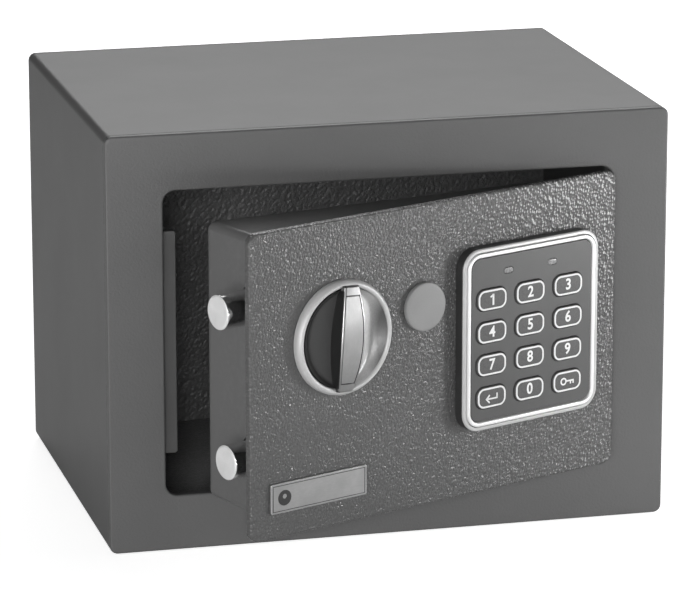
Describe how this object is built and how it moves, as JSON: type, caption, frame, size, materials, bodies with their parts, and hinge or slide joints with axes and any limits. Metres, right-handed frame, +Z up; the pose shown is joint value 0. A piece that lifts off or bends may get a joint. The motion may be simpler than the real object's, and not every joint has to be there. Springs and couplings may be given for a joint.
{
  "type": "in-room safe",
  "caption": "Compact steel in-room safe with a hinged keypad door, turn knob, round locking bolts, emergency lock, battery pack and felt floor.",
  "frame": {"origin": "centre of the footprint, on the base face", "axes": "+Z up, front and door face -Y, +X to the right seen from the front, hinges at +X"},
  "size_m": [0.23, 0.2424, 0.17],
  "materials": {
    "powder_coat": "satin powder coat, fine orange peel",
    "door_powder_coat": "satin powder coat, coarse textured orange peel",
    "floor_felt": "needle-punched felt",
    "zinc_plate": "zinc plated",
    "chrome_plate": "bright plated",
    "silver_knob": "satin silver",
    "brushed_silver": "fine brushed",
    "dark_plastic": "moulded",
    "keypad_grey": "fine matt",
    "silicone": "matt",
    "circuit_board": "solder mask",
    "led_lens": "clear diffuse lens",
    "cap_plastic": "fine matt",
    "coil_tape": "wound wire under tape",
    "cell_jacket": "shrink sleeve",
    "reset_red": "moulded"
  },
  "bodies": {
    "cabinet": {"body_wrap": "powder_coat", "front_frame": "powder_coat", "rear_panel": "powder_coat", "floor_mat": "floor_felt", "bolt_keeper": "powder_coat", "hinge_bracket_upper": "powder_coat", "hinge_bracket_lower": "powder_coat"},
    "door": {"door_panel": "door_powder_coat", "door_pan": "powder_coat", "door_back_cover": "powder_coat", "cover_screw_left": "zinc_plate", "cover_screw_right": "zinc_plate", "hinge_arm_upper": "zinc_plate", "hinge_arm_lower": "zinc_plate", "hinge_pin_upper": "zinc_plate", "hinge_pin_lower": "zinc_plate", "knob_cup": "brushed_silver", "guide_stud_upper": "zinc_plate", "guide_stud_lower": "zinc_plate", "solenoid_frame": "zinc_plate", "solenoid_coil": "coil_tape", "lock_cylinder": "zinc_plate", "keypad_housing": "dark_plastic", "keypad_rim": "brushed_silver", "keypad_panel": "keypad_grey", "key_mat": "silicone", "keypad_board": "circuit_board", "led_left": "led_lens", "led_right": "led_lens", "badge_plate": "brushed_silver", "battery_tray": "dark_plastic", "battery_1": "cell_jacket", "battery_2": "cell_jacket", "battery_3": "cell_jacket", "battery_4": "cell_jacket"},
    "knob": {"knob_dial": "silver_knob", "knob_inlay": "silver_knob", "knob_spindle": "zinc_plate", "drive_crank": "zinc_plate"},
    "bolt_work": {"bolt_carriage": "zinc_plate", "bolt_upper": "chrome_plate", "bolt_lower": "chrome_plate"},
    "emergency_plug": {"lock_plug": "chrome_plate", "lock_cam": "zinc_plate"},
    "emergency_cap": {"lock_cap": "cap_plastic"},
    "solenoid_core": {"solenoid_plunger": "zinc_plate"},
    "reset": {"reset_button": "reset_red"},
    "battery_hatch": {"battery_door": "dark_plastic"},
    "button_1": {"key_1": "keypad_grey"},
    "button_2": {"key_2": "keypad_grey"},
    "button_3": {"key_3": "keypad_grey"},
    "button_4": {"key_4": "keypad_grey"},
    "button_5": {"key_5": "keypad_grey"},
    "button_6": {"key_6": "keypad_grey"},
    "button_7": {"key_7": "keypad_grey"},
    "button_8": {"key_8": "keypad_grey"},
    "button_9": {"key_9": "keypad_grey"},
    "button_enter": {"key_enter": "keypad_grey"},
    "button_0": {"key_0": "keypad_grey"},
    "button_unlock": {"key_unlock": "keypad_grey"}
  },
  "joints": [
    {"name": "door_hinge", "type": "hinge", "parent": "cabinet", "child": "door", "pos_m": [0.0974, -0.0787, 0.0849], "axis": [0, 0, 1], "range_deg": [-22.73, 67.27]},
    {"name": "knob_turn", "type": "hinge", "parent": "door", "child": "knob", "pos_m": [-0.03427, -0.14069, 0.0995], "axis": [-0.3864, 0.9223, 0], "range_deg": [0, 60]},
    {"name": "bolt_slide", "type": "slide", "parent": "door", "child": "bolt_work", "axis": [0.9223, 0.3864, 0], "range_m": [0, 0.0121]},
    {"name": "emergency_turn", "type": "hinge", "parent": "door", "child": "emergency_plug", "pos_m": [0.00253, -0.12527, 0.1053], "axis": [-0.3864, 0.9223, 0], "range_deg": [0, 90]},
    {"name": "cap_pull", "type": "slide", "parent": "door", "child": "emergency_cap", "axis": [0.3864, -0.9223, 0], "range_m": [0, 0.015]},
    {"name": "plunger_throw", "type": "slide", "parent": "door", "child": "solenoid_core", "axis": [-0.3864, 0.9223, 0], "range_m": [0, 0.005]},
    {"name": "reset_press", "type": "slide", "parent": "door", "child": "reset", "axis": [0.239, -0.971, 0], "range_m": [0, 0.0015], "stiffness_N_per_m": 200},
    {"name": "battery_hatch_open", "type": "hinge", "parent": "door", "child": "battery_hatch", "pos_m": [0.04038, -0.07857, 0.036], "axis": [-0.971, -0.239, 0], "range_deg": [0, 80]},
    {"name": "press_1", "type": "slide", "parent": "door", "child": "button_1", "axis": [-0.3864, 0.9223, 0], "range_m": [0, 0.0006], "stiffness_N_per_m": 300},
    {"name": "press_2", "type": "slide", "parent": "door", "child": "button_2", "axis": [-0.3864, 0.9223, 0], "range_m": [0, 0.0006], "stiffness_N_per_m": 300},
    {"name": "press_3", "type": "slide", "parent": "door", "child": "button_3", "axis": [-0.3864, 0.9223, 0], "range_m": [0, 0.0006], "stiffness_N_per_m": 300},
    {"name": "press_4", "type": "slide", "parent": "door", "child": "button_4", "axis": [-0.3864, 0.9223, 0], "range_m": [0, 0.0006], "stiffness_N_per_m": 300},
    {"name": "press_5", "type": "slide", "parent": "door", "child": "button_5", "axis": [-0.3864, 0.9223, 0], "range_m": [0, 0.0006], "stiffness_N_per_m": 300},
    {"name": "press_6", "type": "slide", "parent": "door", "child": "button_6", "axis": [-0.3864, 0.9223, 0], "range_m": [0, 0.0006], "stiffness_N_per_m": 300},
    {"name": "press_7", "type": "slide", "parent": "door", "child": "button_7", "axis": [-0.3864, 0.9223, 0], "range_m": [0, 0.0006], "stiffness_N_per_m": 300},
    {"name": "press_8", "type": "slide", "parent": "door", "child": "button_8", "axis": [-0.3864, 0.9223, 0], "range_m": [0, 0.0006], "stiffness_N_per_m": 300},
    {"name": "press_9", "type": "slide", "parent": "door", "child": "button_9", "axis": [-0.3864, 0.9223, 0], "range_m": [0, 0.0006], "stiffness_N_per_m": 300},
    {"name": "press_enter", "type": "slide", "parent": "door", "child": "button_enter", "axis": [-0.3864, 0.9223, 0], "range_m": [0, 0.0006], "stiffness_N_per_m": 300},
    {"name": "press_0", "type": "slide", "parent": "door", "child": "button_0", "axis": [-0.3864, 0.9223, 0], "range_m": [0, 0.0006], "stiffness_N_per_m": 300},
    {"name": "press_unlock", "type": "slide", "parent": "door", "child": "button_unlock", "axis": [-0.3864, 0.9223, 0], "range_m": [0, 0.0006], "stiffness_N_per_m": 300}
  ],
  "couplings": [
    {"joint": "bolt_slide", "follows": "knob_turn", "m_per_rad": 0.011459}
  ]
}
